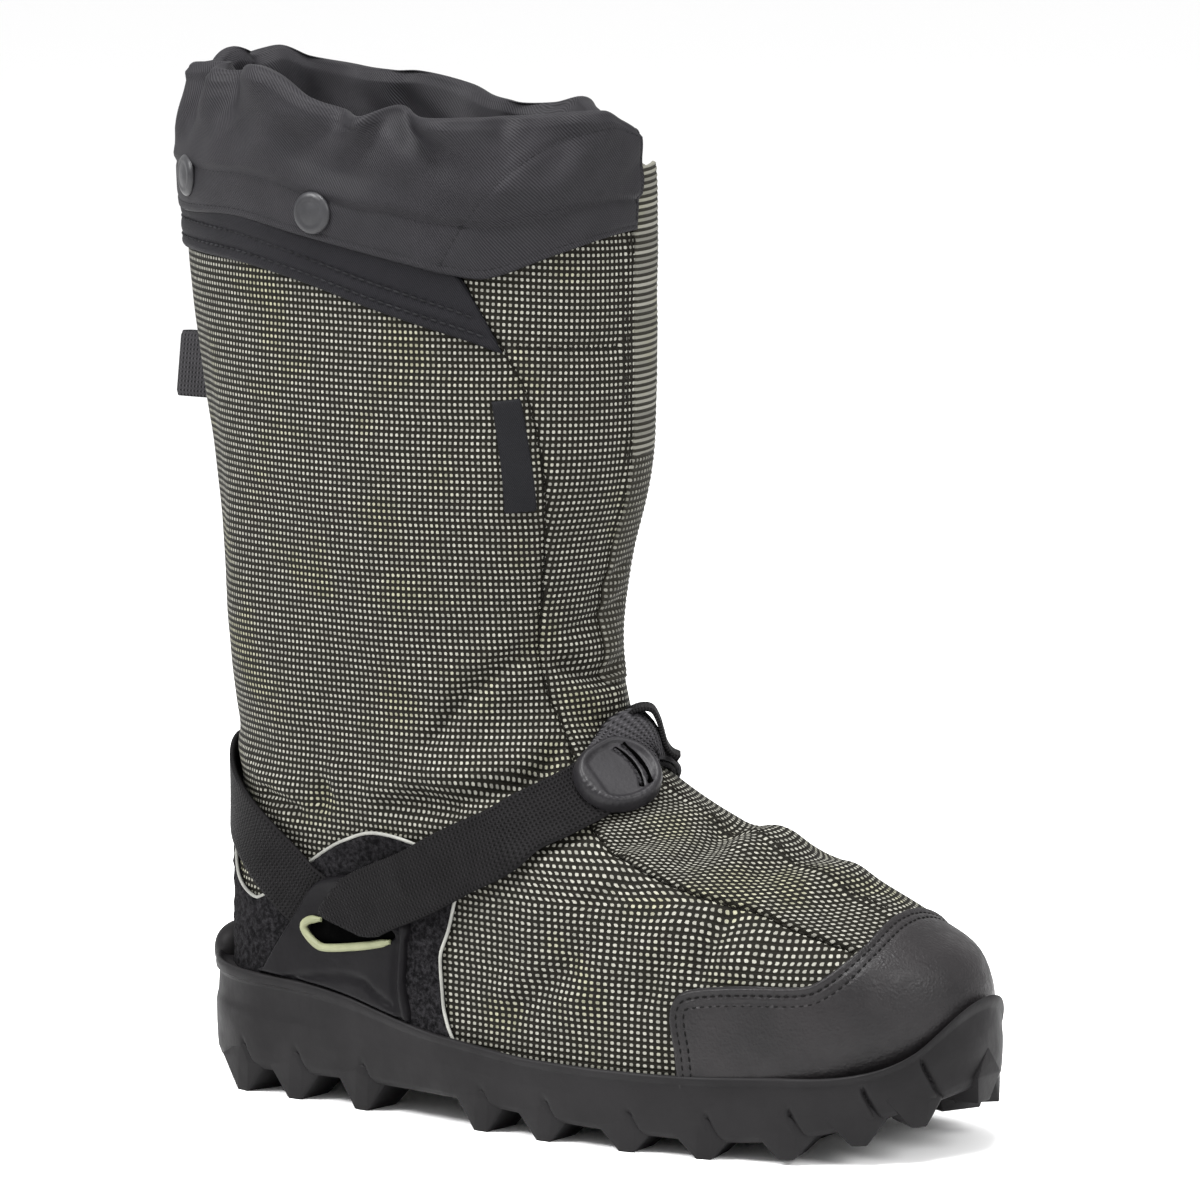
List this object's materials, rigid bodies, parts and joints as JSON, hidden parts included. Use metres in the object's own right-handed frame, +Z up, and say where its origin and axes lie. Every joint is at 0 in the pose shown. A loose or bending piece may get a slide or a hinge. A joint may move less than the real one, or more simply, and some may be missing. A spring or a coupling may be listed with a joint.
{
  "type": "winter overshoe",
  "caption": "Tall cloth winter overshoe with a turned-in cuff, rubber toe cap, webbing straps with a side buckle, and a rubber lug sole.",
  "frame": {"origin": "under the middle of the overall box, at the lowest lug tips", "axes": "+X to the toe, +Y to the inner side of the foot, +Z up"},
  "size_m": [0.3358, 0.1326, 0.3714],
  "materials": {
    "rubber": "matt black rubber",
    "insole_board": "plain felt",
    "weave": "coarse dotted weave",
    "coated": "pebbled coating",
    "fleece": "short nap",
    "piping": "smooth cord",
    "twill": "twill",
    "webbing": "ribbed webbing",
    "plastic": "satin",
    "olive": "smooth"
  },
  "bodies": {
    "root": {"outsole": "rubber", "insole": "insole_board", "upper": "weave", "front_panel": "weave", "front_placket": "weave", "toe_cap": "coated", "heel_panel": "fleece", "heel_piping_lateral": "piping", "heel_piping_medial": "piping", "gusset_band": "twill", "cuff": "twill", "stay_lateral": "rubber", "stay_medial": "rubber", "slot_trim_lateral": "olive", "slot_trim_medial": "olive", "heel_strap": "webbing", "instep_strap": "webbing", "strap_tail": "webbing", "buckle": "plastic", "snap_rear": "plastic", "snap_side": "plastic", "pull_tab": "webbing", "label": "twill"}
  },
  "joints": []
}
